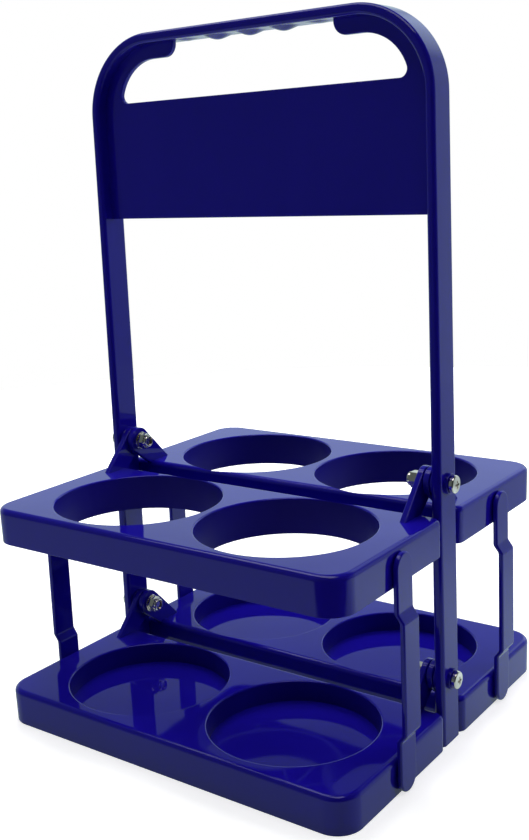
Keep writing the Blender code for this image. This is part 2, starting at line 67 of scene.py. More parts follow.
# %% Read the main places off the engineering model
def reach_of(node):
    """The lowest and highest corner of a node, in millimetres."""
    low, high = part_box(node)
    return low * metre, high * metre


frame_top = reach_of("carry_frame")[1].z
tray_low, tray_high = reach_of("front_lower_tray")
upper_low = reach_of("front_upper_tray")[0]

tray_pitch = upper_low.z - tray_low.z
tray_half_width = tray_high.x
tray_outer = -tray_low.y
tray_inner = 7.6
deck_height = 17.0
pivot_height = 30.2
pivot_heights = (pivot_height, pivot_height + tray_pitch)
leg_outside = 95.9
leg_inside = 90.9
leg_half_depth = 7.9
print("tray pitch", round(tray_pitch, 2), "half width", round(tray_half_width, 2),
      "outer rim", round(tray_outer, 2), "frame top", round(frame_top, 2))

# %% [markdown]
# ## A pen and a pair of compasses
#
# A plan of straight runs and arcs is enough for nearly every outline of this carrier. The pen
# carries a line of edges on from a vertex. The compasses swing the last vertex round a centre,
# which is what the spin operator does with a single vertex. Places within `touch` of each other
# count as one, and vertices within `weld` are merged.

# %% Draw with a pen and compasses
touch = 0.01
weld = 0.001


def verts_in(items):
    """The vertices among the things that an operator returns."""
    return [item for item in items if isinstance(item, bmesh.types.BMVert)]


def whole(drawing):
    """Everything that is drawn so far."""
    return drawing.verts[:] + drawing.edges[:] + drawing.faces[:]


def pen(drawing, start, *stops):
    """Carry edges on from a vertex through the stops, and return the last vertex."""
    for stop in stops:
        reached = drawing.verts.new(stop)
        drawing.edges.new((start, reached))
        start = reached
    return start


def compasses(drawing, start, centre, degrees, steps, axis=(0, 1, 0)):
    """Swing a vertex round a centre and return where it ends."""
    swung = bmesh.ops.spin(
        drawing, geom=[start], cent=centre, axis=axis, angle=math.radians(degrees), steps=steps
    )
    return verts_in(swung["geom_last"])[0]


def thicken(drawing, travel):
    """Pull all the faces of a flat drawing along a vector, so that it becomes a solid."""
    pulled = bmesh.ops.extrude_face_region(drawing, geom=drawing.faces[:])
    bmesh.ops.translate(drawing, verts=verts_in(pulled["geom"]), vec=travel)
    bmesh.ops.recalc_face_normals(drawing, faces=drawing.faces[:])


def soften(drawing, edges, width, segments):
    """Round edges over with a bevel."""
    bmesh.ops.bevel(
        drawing, geom=edges, offset=width, offset_type="OFFSET", segments=segments,
        profile=0.5, affect="EDGES", clamp_overlap=True, material=-1,
    )


def sharp(drawing, degrees):
    """The edges that turn by more than an angle."""
    limit = math.radians(degrees)
    return [edge for edge in drawing.edges if edge.calc_face_angle(0.0) > limit]


def face_rims(drawing):
    """The edges that run round a front or a rear face, which all lie at one depth."""
    return [e for e in drawing.edges if abs(e.verts[0].co.y - e.verts[1].co.y) < touch]


def mirror_and_fill(drawing):
    """Mirror half an outline to the left and fill it with one face."""
    half = drawing.verts[:] + drawing.edges[:]
    bmesh.ops.mirror(drawing, geom=half, merge_dist=weld, axis="X")
    bmesh.ops.contextual_create(drawing, geom=drawing.edges[:])


# %% [markdown]
# ## From a drawing to a piece
#
# A moulding is one body of plastic, so drawings that touch are joined with exact Booleans. The
# weighted normals at the end keep large faces flat in their reflections, right up to the fillets.

# %% Turn drawings into objects and join them
def to_object(name, drawing):
    """Turn a drawing in millimetres into an object in metres."""
    bmesh.ops.scale(drawing, vec=(1 / metre,) * 3, verts=drawing.verts[:])
    mesh = bpy.data.meshes.new(name)
    drawing.to_mesh(mesh)
    drawing.free()
    made = bpy.data.objects.new(name, mesh)
    bpy.context.scene.collection.objects.link(made)
    return made


def work_in(made):
    """Work an object's modifiers into its mesh."""
    rough = made.data
    seen = made.evaluated_get(bpy.context.evaluated_depsgraph_get())
    finished = bpy.data.meshes.new_from_object(seen)
    made.modifiers.clear()
    made.data = finished
    finished.name = made.name
    bpy.data.meshes.remove(rough)


def join(made, tool, operation):
    """Add or cut away another object with an exact Boolean, and clear the tool away."""
    change = made.modifiers.new("join", "BOOLEAN")
    change.operation = operation
    change.solver = "EXACT"
    change.object = tool
    work_in(made)
    bpy.data.objects.remove(tool, do_unlink=True)


def polish(made, degrees=38):
    """Shade a piece smoothly, with creases at sharp edges and flat reflections on large faces."""
    made.data.shade_smooth()
    made.data.set_sharp_from_angle(angle=math.radians(degrees))
    weigh = made.modifiers.new("weigh", "WEIGHTED_NORMAL")
    weigh.mode = "FACE_AREA"
    weigh.weight = 60
    weigh.keep_sharp = True
    work_in(made)


# %% [markdown]
# ## Materials: how colours and nodes are written
#
# A colour picker gives sRGB values, and a shader works in linear light, so one function turns hex
# into linear. One more small function adds a node with its settings and links.

# %% Write colours and nodes
def linear(hex_colour):
    """An sRGB hex colour in linear light."""
    channels = [int(hex_colour[at : at + 2], 16) / 255 for at in (1, 3, 5)]
    lit = [c / 12.92 if c <= 0.04045 else ((c + 0.055) / 1.055) ** 2.4 for c in channels]
    return (*lit, 1.0)


def add(tree, kind, settings, links=()):
    """Add a node: settings name its options and sockets, links say what feeds which socket."""
    node = tree.nodes.new(kind)
    for name, value in settings.items():
        if isinstance(name, str) and hasattr(node, name):
            setattr(node, name, value)
        else:
            node.inputs[name].default_value = value
    for socket, source, output in links:
        tree.links.new(source.outputs[output], node.inputs[socket])
    return node


def per(size):
    """The scale that makes a pattern repeat about once in so many millimetres."""
    return metre / size


# %% [markdown]
# ## Polished ABS, injection moulded
#
# The carrier is moulded in ABS, a hard plastic that takes the shine of a polished steel mould.
# It is coloured right through, a deep ultramarine, and its skin is a clean mirror at low angles.
# Three things keep it from looking like glass. The wall shrinks a little as it cools, so broad
# faces wave by a few hundredths of a millimetre about every 30 mm. The pigment drifts along the
# flow of the melt by a shade or so. Handling leaves a faint haze and hairline scratches. Real
# hairlines lie closer than 0.7 mm, but finer ones wouldn't show in the render.
#
# The round walls of the openings are different. A polished wall would hold the core by suction,
# so that part of the mould is spark-eroded, and the plastic there is matt. Their pigment is also
# painted darker, as shade inside the openings.

# %% Mix the plastic
flow_length, haze_patch, sink_spacing, hairline_spacing = 38, 24, 30, 0.7
sink_depth, hairline_depth = 0.12, 0.002


def moulded_abs(name, flow, shine=(0.02, 0.05), mirror=0.4, pigments=("#160c97", "#1d12a2")):
    """ABS whose pigment drifts along the flow of the melt, given as scales for X, Y and Z."""
    made = bpy.data.materials.new(name)
    made.use_nodes = True
    tree = made.node_tree
    shader = tree.nodes["Principled BSDF"]
    shader.inputs["IOR"].default_value = 1.5
    shader.inputs["Metallic"].default_value = 0.0
    shader.inputs["Specular IOR Level"].default_value = mirror

    place = add(tree, "ShaderNodeTexCoord", {})
    streamed = add(tree, "ShaderNodeMapping", {"Scale": flow}, [("Vector", place, "Object")])
    drift = add(
        tree, "ShaderNodeTexNoise",
        {"Scale": per(flow_length), "Detail": 3.0, "Roughness": 0.55},
        [("Vector", streamed, "Vector")],
    )
    pigment = add(
        tree, "ShaderNodeMix",
        {"data_type": "RGBA", 6: linear(pigments[0]), 7: linear(pigments[1])}, [(0, drift, "Fac")],
    )
    tree.links.new(pigment.outputs[2], shader.inputs["Base Color"])

    haze = add(
        tree, "ShaderNodeTexNoise",
        {"Scale": per(haze_patch), "Detail": 5.0, "Roughness": 0.6},
        [("Vector", place, "Object")],
    )
    gloss = add(
        tree, "ShaderNodeMapRange",
        {"From Min": 0.35, "From Max": 0.7, "To Min": shine[0], "To Max": shine[1]},
        [("Value", haze, "Fac")],
    )
    tree.links.new(gloss.outputs["Result"], shader.inputs["Roughness"])

    sink = add(
        tree, "ShaderNodeTexNoise",
        {"Scale": per(sink_spacing), "Detail": 1.0, "Roughness": 0.4},
        [("Vector", place, "Object")],
    )
    waves = add(
        tree, "ShaderNodeBump", {"Strength": 1.0, "Distance": sink_depth / metre},
        [("Height", sink, "Fac")],
    )
    scuffed = add(
        tree, "ShaderNodeMapping", {"Scale": (1.0, 0.12, 0.3), "Rotation": (0.3, 0.2, 0.7)},
        [("Vector", place, "Object")],
    )
    hairlines = add(
        tree, "ShaderNodeTexNoise",
        {"Scale": per(hairline_spacing), "Detail": 4.0, "Roughness": 0.7},
        [("Vector", scuffed, "Vector")],
    )
    skin = add(
        tree, "ShaderNodeBump", {"Strength": 0.25, "Distance": hairline_depth / metre},
        [("Height", hairlines, "Fac"), ("Normal", waves, "Normal")],
    )
    tree.links.new(skin.outputs["Normal"], shader.inputs["Normal"])
    return made


frame_plastic = moulded_abs("polished_abs_frame", (1.0, 1.0, 0.35))
tray_plastic = moulded_abs("polished_abs_tray", (0.4, 1.0, 1.0))
link_plastic = moulded_abs("polished_abs_link", (1.0, 1.0, 0.3))
# The darker pigments of the walls are painted shade inside the openings; their matt finish is
# real.
matt_shaded_plastic = moulded_abs(
    "spark_eroded_abs_painted_shade", (1.0, 1.0, 0.4), shine=(0.42, 0.5), mirror=0.18,
    pigments=("#11097c", "#170d88"),
)
print("plastics:", frame_plastic.name, tray_plastic.name, link_plastic.name, matt_shaded_plastic.name)

# %% [markdown]
# ## Nickel-plated steel
#
# The screws, nuts and washers are cold-formed steel with a thin bright nickel plate. Nickel is a
# little warmer than chrome. The plate copies the steel under it, so the gloss breaks up in
# patches of 1 to 2 mm, with dents of a few thousandths of a millimetre between them.

# %% Plate the steel
patch_size, dent_depth = 1.6, 0.02


def plated_steel(name):
    """Bright nickel plate over formed steel."""
    made = bpy.data.materials.new(name)
    made.use_nodes = True
    tree = made.node_tree
    shader = tree.nodes["Principled BSDF"]
    shader.inputs["Metallic"].default_value = 1.0

    place = add(tree, "ShaderNodeTexCoord", {})
    patches = add(
        tree, "ShaderNodeTexNoise",
        {"Scale": per(patch_size), "Detail": 4.0, "Roughness": 0.6},
        [("Vector", place, "Object")],
    )
    tone = add(
        tree, "ShaderNodeMix",
        {"data_type": "RGBA", 6: linear("#e4dbd4"), 7: linear("#fdf6f0")}, [(0, patches, "Fac")],
    )
    tree.links.new(tone.outputs[2], shader.inputs["Base Color"])
    gloss = add(
        tree, "ShaderNodeMapRange",
        {"From Min": 0.3, "From Max": 0.7, "To Min": 0.08, "To Max": 0.18},
        [("Value", patches, "Fac")],
    )
    tree.links.new(gloss.outputs["Result"], shader.inputs["Roughness"])
    dents = add(
        tree, "ShaderNodeBump", {"Strength": 0.3, "Distance": dent_depth / metre},
        [("Height", patches, "Fac")],
    )
    tree.links.new(dents.outputs["Normal"], shader.inputs["Normal"])
    return made


nickel = plated_steel("nickel_plated_steel")


# %% [markdown]
# ## Hand a piece over
#
# A finished piece gets its material, rides on a body of the engineering model and stands for its
# node. The rear trays and all the left-hand pieces are the same mouldings, turned half round, so
# their meshes are copied and turned.

# %% Hand pieces over to the engineering model
def hand_over(made, material, body, node):
    """Give a piece its material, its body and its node."""
    made.data.materials.clear()
    made.data.materials.append(material)
    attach(made, body)
    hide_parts(node)
    return made


def turned_copy(made, name, turn):
    """A copy of a piece with the turn worked into its mesh."""
    mesh = made.data.copy()
    mesh.transform(turn)
    mesh.name = name
    copy = bpy.data.objects.new(name, mesh)
    bpy.context.scene.collection.objects.link(copy)
    return copy


half_turn = Matrix.Rotation(math.pi, 4, "Z")


def place_at(spot, side):
    """The place of a right-hand piece at a spot in millimetres, or half round on the left."""
    shift = Matrix.Translation(Vector(spot) / metre)
    return shift if side > 0 else shift @ half_turn


# %% [markdown]
# ## A half tray is what the mould leaves
#
# A half tray is a thin shell: a deck, a skirt round it, round walls down from its two openings,
# and ribs. It is made here as a mould makes it. One half of the mould shapes the outside, a plain
# block with rounded rims. The other half, the core, fills the block from below and leaves 2 mm of
# plastic above and around it. Slots in the core fill with plastic too: they are the ribs and the
# round walls.
#
# The plan is a rectangle with wide corners outside and tight ones beside the legs. A vertex bevel
# with an even number of steps draws each corner.

# %% Draw the plan
hole_x = 42.3
hole_y = 48.6
outer_corner = 12.0
inner_corner = 4.6


def draw_plan(height, side_inset=0.0, inner_inset=0.0):
    """The front half tray's plan as one flat face, inset at its sides and its inner edge."""
    drawing = bmesh.new()
    right = tray_half_width - side_inset
    near, far = tray_inner + inner_inset, tray_outer - side_inset
    middle = -(near + far) / 2
    bmesh.ops.create_grid(drawing, x_segments=1, y_segments=1, size=0.5)
    bmesh.ops.scale(drawing, vec=(2 * right, far - near, 1), verts=drawing.verts[:])
    bmesh.ops.translate(drawing, verts=drawing.verts[:], vec=(0, middle, height))
    corners = ((outer_corner - side_inset, 14, True), (inner_corner - inner_inset, 6, False))
    for radius, segments, outside in corners:
        spots = [
            v for v in drawing.verts
            if (v.co.y < middle) == outside and abs(v.co.x) > right - touch
        ]
        bmesh.ops.bevel(
            drawing, geom=spots, offset=radius, offset_type="OFFSET", segments=segments,
            profile=0.5, affect="VERTICES", clamp_overlap=False, material=-1,
        )
    return drawing


# %% [markdown]
# ## The outside of the tray
#
# The skirt leans in by 0.3 mm towards its foot, which is the draft that lets the moulding out of
# its mould. The rim at the deck is rounded by 2.5 mm and the one at the foot by a fine 0.35 mm. A
# bevel modifier does both, scaled by weights.

# %% Make the block
draft = 0.3
deck_round = 2.5
foot_round = 0.35


def make_block(name):
    """The outside of a half tray as a solid block with rounded rims."""
    drawing = draw_plan(deck_height)
    thicken(drawing, (0, 0, -deck_height))
    middle = deck_height / 2
    foot = [vert for vert in drawing.verts if vert.co.z < middle]
    lean = (1 - draft / tray_half_width, 1 - draft / (tray_outer - tray_inner), 1)
    bmesh.ops.scale(drawing, vec=lean, verts=foot, space=Matrix.Translation((0, tray_inner, 0)))
    weight = drawing.edges.layers.float.new("bevel_weight_edge")
    for edge in drawing.edges:
        low, high = sorted(vert.co.z for vert in edge.verts)
        if high < middle:
            edge[weight] = foot_round / deck_round
        elif low > middle:
            edge[weight] = 1.0
    block = to_object(name, drawing)
    rims = block.modifiers.new("rims", "BEVEL")
    rims.limit_method = "WEIGHT"
    rims.width = deck_round / metre
    rims.segments = 6
    rims.use_clamp_overlap = False
    work_in(block)
    return block


# %% [markdown]
# ## The core and its slots
#
# The core is the same plan, inset by the wall. A disc taken out of it leaves the round wall of an
# opening, and a bar taken out of it leaves a rib. Nobody sees the ribs until the carrier is
# folded, and then they are all that is seen. Discs and bars run well past what they cut.

# %% Make the core
deck_thickness = 2.0
end_wall = 2.3
inner_wall = 2.0
opening_wall = 1.8
rib_thickness = 1.6
recess_floor = 7.0
past_foot = -2.0
hole_steps = 96


def bar(centre, size, degrees):
    """A bar on end, turned about the upright axis."""
    drawing = bmesh.new()
    place = Matrix.Translation(centre) @ Matrix.Rotation(math.radians(degrees), 4, "Z")
    bmesh.ops.create_cube(drawing, size=1.0, matrix=place @ Matrix.Diagonal((*size, 1)))
    return to_object("bar", drawing)


def disc(across, radius, low, high):
    """An upright cylinder about one of the two openings."""
    drawing = bmesh.new()
    bmesh.ops.create_cone(
        drawing, cap_ends=True, segments=hole_steps, radius1=radius, radius2=radius,
        depth=high - low, matrix=Matrix.Translation((across, -hole_y, (low + high) / 2)),
    )
    return to_object("disc", drawing)


def make_core(hole_radius):
    """The core that hollows the tray from below, with slots for the round walls and the ribs."""
    drawing = draw_plan(deck_height - deck_thickness, end_wall, inner_wall)
    thicken(drawing, (0, 0, -deck_height))
    core = to_object("core", drawing)
    rib = (144.0, rib_thickness, 60.0)
    join(core, bar((0, -hole_y, 0), rib, 90), "DIFFERENCE")
    for side in (-1, 1):
        wall = disc(side * hole_x, hole_radius + opening_wall, -9.0, 29.0)
        join(core, wall, "DIFFERENCE")
        for lean in (-45, 45):
            join(core, bar((side * hole_x, -hole_y, 0), rib, lean), "DIFFERENCE")
    return core


def make_floor_core(across, hole_radius):
    """The core under a recess floor, crossed by two ribs."""
    core = disc(across, hole_radius, past_foot, recess_floor - deck_thickness)
    rib = (90.0, rib_thickness, 20.0)
    for degrees in (0, 90):
        join(core, bar((across, -hole_y, 0), rib, degrees), "DIFFERENCE")
    return core


# %% [markdown]
# ## Openings with a rounded mouth
#
# A bottle slides in over a small radius at the deck. Below it the wall narrows by 0.8 mm down to
# the tray's foot, so that the mould lets go of it. That small lean shows: it turns the wall's
# mirror image from the bright table up to the dark side of the room. The cutter's profile has both
# and is spun about the middle of the opening.

# %% Spin profiles into closed forms
def lathe(drawing, centre, axis, steps):
    """Spin everything drawn so far all the way round an axis."""
    profile = drawing.verts[:] + drawing.edges[:]
    bmesh.ops.spin(
        drawing, geom=profile, cent=centre, axis=axis, angle=math.radians(360), steps=steps,
        use_merge=True,
    )
    bmesh.ops.remove_doubles(drawing, verts=drawing.verts[:], dist=weld)
    bmesh.ops.recalc_face_normals(drawing, faces=drawing.faces[:])


hole_lean = 0.8
mouth_round = 0.8


def make_mouth_cutter(across, radius, foot):
    """A cutter for one opening, which also rounds its rim at the deck."""
    drawing = bmesh.new()
    narrow = radius - hole_lean * (deck_height - foot) / deck_height
    start = drawing.verts.new((across, -hole_y, foot))
    tip = pen(drawing, start, (across + narrow, -hole_y, foot),
              (across + radius, -hole_y, deck_height - mouth_round))
    lip = across + radius + mouth_round
    tip = compasses(drawing, tip, (lip, -hole_y, deck_height - mouth_round), 90, 6)
    past_deck = deck_height + 2
    pen(drawing, tip, (lip, -hole_y, past_deck), (across, -hole_y, past_deck))
    lathe(drawing, (across, -hole_y, 0), (0, 0, 1), hole_steps)
    return to_object("mouth_cutter", drawing)


# %% [markdown]
# ## Hinge ears
#
# The ears carry the tray on the pivot screws. An ear is the convex hull of a round end on the
# pivot and a foot on the deck, like a string pulled tight round both, so its flanks are true
# tangents.

# %% Draw the ears and the rods
outer_ear = (86.4, 89.4)
inner_ear = (83.0, 86.0)
ear_radius = 6.7
ear_foot = (-22.0, -7.8)
ear_root = 1.0
ear_edge = 0.5


def draw_ear(near, far):
    """A hinge ear between two places across the carrier."""
    drawing = bmesh.new()
    place = Matrix.Translation(((near + far) / 2, 0, pivot_height))
    place = place @ Matrix.Rotation(math.radians(90), 4, "Y")
    bmesh.ops.create_cone(
        drawing, cap_ends=True, segments=64, radius1=ear_radius, radius2=ear_radius,
        depth=abs(far - near), matrix=place,
    )
    for across in (near, far):
        for along in ear_foot:
            for height in (deck_height, deck_height - ear_root):
                drawing.verts.new((across, along, height))
    hull = bmesh.ops.convex_hull(drawing, input=drawing.verts[:], use_existing_faces=False)
    inside = set(hull["geom_interior"] + hull["geom_unused"])
    bmesh.ops.delete(drawing, geom=verts_in(inside), context="VERTS")
    bmesh.ops.dissolve_limit(
        drawing, angle_limit=math.radians(1), use_dissolve_boundaries=False,
        verts=drawing.verts[:], edges=drawing.edges[:],
    )
    soften(drawing, sharp(drawing, 60), ear_edge, 3)
    return drawing


def rod(near, far, radius, along, height, segments=48):
    """A round rod along X."""
    drawing = bmesh.new()
    place = Matrix.Translation(((near + far) / 2, along, height))
    place = place @ Matrix.Rotation(math.radians(90), 4, "Y")
    bmesh.ops.create_cone(
        drawing, cap_ends=True, segments=segments, radius1=radius, radius2=radius,
        depth=far - near, matrix=place,
    )
    return drawing


# %% [markdown]
# ## The four half trays
#
# The upper tray's openings go right through, and the lower tray's end in a floor that the bottles
# stand on. A bore through each ear takes the pivot screw, and a hole through each end wall takes
# the link's snap pin. Front and rear are one moulding, turned half round, which is why each tray
# has one ear outside and one inside.

# %% Make the upper and the lower half tray
recess_radius = 39.0
opening_radius = 40.0
pivot_bore = 2.3
link_pin_bore = 3.3
link_pin_y = 48.0
link_pin_height = 7.6
past_legs = 100
behind_end_wall = 92


def make_tray(storey, hole_radius, foot):
    """One front half tray, standing on the ground plane."""
    tray = make_block(storey + "_tray")
    join(tray, make_core(hole_radius), "DIFFERENCE")
    for side in (-1, 1):
        if foot > 0:
            join(tray, make_floor_core(side * hole_x, hole_radius), "DIFFERENCE")
        join(tray, make_mouth_cutter(side * hole_x, hole_radius, foot), "DIFFERENCE")
    join(tray, to_object("ear", draw_ear(-outer_ear[0], -outer_ear[1])), "UNION")
    join(tray, to_object("ear", draw_ear(*inner_ear)), "UNION")
    bore = rod(-past_legs, past_legs, pivot_bore, 0, pivot_height)
    join(tray, to_object("bore", bore), "DIFFERENCE")
    for near, far in ((-past_legs, -behind_end_wall), (behind_end_wall, past_legs)):
        hole = rod(near, far, link_pin_bore, -link_pin_y, link_pin_height)
        join(tray, to_object("pin_hole", hole), "DIFFERENCE")
    polish(tray)
    return tray


lower_tray = make_tray("lower", recess_radius, recess_floor)
upper_tray = make_tray("upper", opening_radius, past_foot)
print("lower tray faces:", len(lower_tray.data.polygons),
      "upper tray faces:", len(upper_tray.data.polygons))

# %% Place the four half trays
def roughen_and_shade_walls(tray, wall_radius):
    """Give the round walls of a placed tray the matt finish of a spark-eroded core and a painted
    shade.
    """
    tray.data.materials.append(matt_shaded_plastic)
    for face in tray.data.polygons:
        spot = face.center * metre
        from_axis = math.hypot(abs(spot.x) - hole_x, abs(spot.y) - hole_y)
        upright = abs(face.normal.z) < 0.1
        if from_axis < wall_radius and upright and spot.z > recess_floor:
            face.material_index = 1


for storey, tray, lift, wall_radius in (
    ("lower", lower_tray, 0.0, recess_radius),
    ("upper", upper_tray, tray_pitch / metre, opening_radius),
):
    for end, turn in (("front", Matrix.Identity(4)), ("rear", half_turn)):
        node = f"{end}_{storey}_tray"
        placed = turned_copy(tray, node + "_moulding", Matrix.Translation((0, 0, lift)) @ turn)
        hand_over(placed, tray_plastic, node, node)
        # The round walls turn matt and take a painted shade.
        roughen_and_shade_walls(placed, wall_radius)
    bpy.data.objects.remove(tray, do_unlink=True)

# %% [markdown]
# ## The carry frame: a bent band
#
# Legs and handle are one band, 15.8 mm deep and about 5 mm thick, bent at two wide corners. Half
# of it is drawn with the pen and the compasses and then mirrored. Its front and rear edges are
# rounded to a nose, which is kind to the hand and catches the light from above along the handle.

# %% Draw the band
corner_radius = 38.0
corner_steps = 28
corner_x = 57.4
corner_z = frame_top - corner_radius
handle_thickness = 4.9
handle_underside = frame_top - handle_thickness
nose = 1.9


def draw_band():
    """The legs and the handle as one bent band."""
    drawing = bmesh.new()
    depth = -leg_half_depth
    start = drawing.verts.new((0, depth, frame_top))
    tip = pen(drawing, start, (corner_x, depth, frame_top))
    tip = compasses(drawing, tip, (corner_x, depth, corner_z), 90, corner_steps)
    inner_z = handle_underside - (leg_inside - corner_x)
    tip = pen(drawing, tip, (leg_outside, depth, 0), (leg_inside, depth, 0),
              (leg_inside, depth, inner_z))
    tip = compasses(drawing, tip, (corner_x, depth, inner_z), -90, corner_steps)
    pen(drawing, tip, (0, depth, handle_underside))
    mirror_and_fill(drawing)
    thicken(drawing, (0, 2 * leg_half_depth, 0))
    rims = [
        edge for edge in face_rims(drawing)
        if max(vert.co.z for vert in edge.verts) > touch
    ]
    soften(drawing, rims, nose, 7)
    return drawing


# %% [markdown]
# ## Ridges between the fingers
#
# Under the handle the band swells into ridges that sit between the fingers, with a shallow one at
# each end. They arch from the front of the handle to its rear and leave the band's nose without
# an edge that could press on the hand. A flat grid is pushed down by a wave along the grip times
# an arch across it.

# %% Press the ridges into a grid
grip_end = 44.8
finger_pitch = 18.6
ridge_depth = 2.0
end_ridge_depth = 0.8
ridge_half_width = leg_half_depth - 0.6
ridge_edge = 0.7
ridge_root = 1.95


def ridge(across):
    """How far the grip drops between two fingers at a place along it."""
    depth = ridge_depth if abs(across) < 1.5 * finger_pitch else end_ridge_depth
    return depth * ((1 + math.cos(2 * math.pi * across / finger_pitch)) / 2) ** 1.3


def draw_ridges():
    """The ridges under the grip, closed inside the handle."""
    drawing = bmesh.new()
    bmesh.ops.create_grid(drawing, x_segments=150, y_segments=20, size=0.5)
    size = (2 * grip_end, 2 * ridge_half_width, 1)
    bmesh.ops.scale(drawing, vec=size, verts=drawing.verts[:])
    for vert in drawing.verts:
        arch = math.cos(math.pi / 2 * vert.co.y / ridge_half_width)
        drop = (ridge(vert.co.x) + ridge_edge - touch) * arch
        vert.co.z = handle_underside + ridge_edge - drop
    pulled = bmesh.ops.extrude_face_region(drawing, geom=drawing.faces[:])
    for vert in verts_in(pulled["geom"]):
        vert.co.z = handle_underside + ridge_root
    bmesh.ops.recalc_face_normals(drawing, faces=drawing.faces[:])
    return drawing


# %% [markdown]
# ## The panel and the web round the hand opening
#
# A 3 mm web fills the frame's corners and carries the plain panel. It is drawn as half an outline
# too: along inside the band, down over a small shoulder beside the grip, round the end of the
# hand opening and back along the panel's top.

# %% Draw the web
web_thickness = 3.0
web_edge = 0.6
web_reach = 93.35
panel_top = frame_top - 31.9
panel_foot = panel_top - 57.0
shoulder = frame_top - 12.0
shoulder_round = 6.2
opening_end_x = corner_x + 1.1
opening_end_radius = 22.4
opening_corner = 3.6


def draw_web():
    """The panel and the web round the hand opening."""
    drawing = bmesh.new()
    depth = -web_thickness / 2
    end_z = shoulder - opening_end_radius
    up = panel_top + opening_corner - end_z
    out = math.sqrt((opening_end_radius - opening_corner) ** 2 - up**2)
    lean = math.degrees(math.atan2(up, out))
    start = drawing.verts.new((0, depth, panel_foot))
    tip = pen(drawing, start, (web_reach, depth, panel_foot), (web_reach, depth, corner_z))
    tip = compasses(drawing, tip, (corner_x, depth, corner_z), -90, corner_steps)
    tip = pen(drawing, tip, (grip_end, depth, corner_z + web_reach - corner_x),
              (grip_end, depth, shoulder + shoulder_round))
    turn = (grip_end + shoulder_round, depth, shoulder + shoulder_round)
    tip = compasses(drawing, tip, turn, -90, 12)
    tip = pen(drawing, tip, (opening_end_x, depth, shoulder))
    tip = compasses(drawing, tip, (opening_end_x, depth, end_z), 90 - lean, corner_steps)
    corner = (opening_end_x + out, depth, panel_top + opening_corner)
    tip = compasses(drawing, tip, corner, 90 + lean, 12)
    pen(drawing, tip, (0, depth, panel_top))
    mirror_and_fill(drawing)
    thicken(drawing, (0, web_thickness, 0))
    soften(drawing, face_rims(drawing), web_edge, 3)
    return drawing


# %% Join band, web and screw bosses
inner_boss = (89.7, 93.0, 6.4)
outer_boss = (93.0, 97.2, 4.7)
boss_edge = 0.45


def make_frame():
    """The carry frame as one moulding."""
    made = to_object("carry_frame_moulding", draw_band())
    join(made, to_object("web", draw_web()), "UNION")
    join(made, to_object("ridges", draw_ridges()), "UNION")
    for side in (-1, 1):
        for height in pivot_heights:
            for inside, outside, radius in (inner_boss, outer_boss):
                near, far = sorted((side * inside, side * outside))
                boss = rod(near, far, radius, 0, height, segments=64)
                soften(boss, sharp(boss, 60), boss_edge, 3)
                join(made, to_object("boss", boss), "UNION")
    for height in pivot_heights:
        bore = rod(-past_legs, past_legs, pivot_bore, 0, height)
        join(made, to_object("bore", bore), "DIFFERENCE")
    polish(made)
    return hand_over(made, frame_plastic, "frame_and_screws", "carry_frame")


carry_frame = make_frame()
print("frame faces:", len(carry_frame.data.polygons))

# %% [markdown]
# ## The side links
#
# A link is a flat strap with round ends, 2.4 mm thick. It steps outwards between the trays, past
# their rims, and its two snap pins go through the trays' end walls. The outline is drawn once,
# cut across with four planes, and the middle is pushed out, which gives both steps at once.

# %% Draw the strap
strap_half = 6.4
strap_thickness = 2.4
strap_step = 2.6
strap_overhang = 0.6
strap_edge = 0.8
upper_step = (18.0, 21.5)
lower_step = (17.0, 20.5)
link_reach = tray_half_width + 0.4


def draw_strap():
    """A right-hand link about its upper pin."""
    drawing = bmesh.new()
    low = -tray_pitch - strap_overhang
    start = drawing.verts.new((0, strap_half, low))
    tip = pen(drawing, start, (0, strap_half, strap_overhang))
    tip = compasses(drawing, tip, (0, 0, strap_overhang), 180, 24, axis=(1, 0, 0))
    tip = pen(drawing, tip, (0, -strap_half, low))
    compasses(drawing, tip, (0, 0, low), 180, 24, axis=(1, 0, 0))
    bmesh.ops.remove_doubles(drawing, verts=drawing.verts[:], dist=weld)
    bmesh.ops.contextual_create(drawing, geom=drawing.edges[:])
    top, bottom = -upper_step[1], lower_step[1] - tray_pitch
    for level in (-upper_step[0], top, bottom, lower_step[0] - tray_pitch):
        bmesh.ops.bisect_plane(
            drawing, geom=whole(drawing), plane_co=(0, 0, level), plane_no=(0, 0, 1)
        )
    middle = [v for v in drawing.verts if bottom - touch < v.co.z < top + touch]
    bmesh.ops.translate(drawing, verts=middle, vec=(strap_step, 0, 0))
    thicken(drawing, (strap_thickness, 0, 0))
    soften(drawing, sharp(drawing, 25), strap_edge, 4)
    return drawing


# %% [markdown]
# ## Snap pins
#
# Each pin is split along its middle, so that its lip can squeeze through the hole and spring open
# behind the wall. The profile is spun into a pin, half of it is cut away, and the other half is
# mirrored, which leaves the slot.

# %% Draw the snap pins and make the links
pin_root = 1.2
pin_radius, lip_radius, tip_radius = 3.0, 3.7, 2.6
neck_end, lip_end, tip_end = -2.7, -3.1, -4.7
half_slot = 0.5


def draw_pin(height):
    """A split snap pin that points into the tray."""
    drawing = bmesh.new()
    start = drawing.verts.new((pin_root, 0, 0))
    pen(drawing, start, (pin_root, 0, pin_radius), (neck_end, 0, pin_radius),
        (neck_end, 0, lip_radius), (lip_end, 0, lip_radius), (tip_end, 0, tip_radius),
        (tip_end, 0, 0))
    lathe(drawing, (0, 0, 0), (1, 0, 0), 40)
    bmesh.ops.bisect_plane(
        drawing, geom=whole(drawing), plane_co=(0, 0, half_slot), plane_no=(0, 0, 1),
        clear_inner=True,
    )
    cut = [edge for edge in drawing.edges if edge.is_boundary]
    bmesh.ops.edgeloop_fill(drawing, edges=cut)
    bmesh.ops.mirror(drawing, geom=whole(drawing), merge_dist=-1, axis="Z")
    bmesh.ops.recalc_face_normals(drawing, faces=drawing.faces[:])
    bmesh.ops.translate(drawing, verts=drawing.verts[:], vec=(0, 0, height))
    return drawing


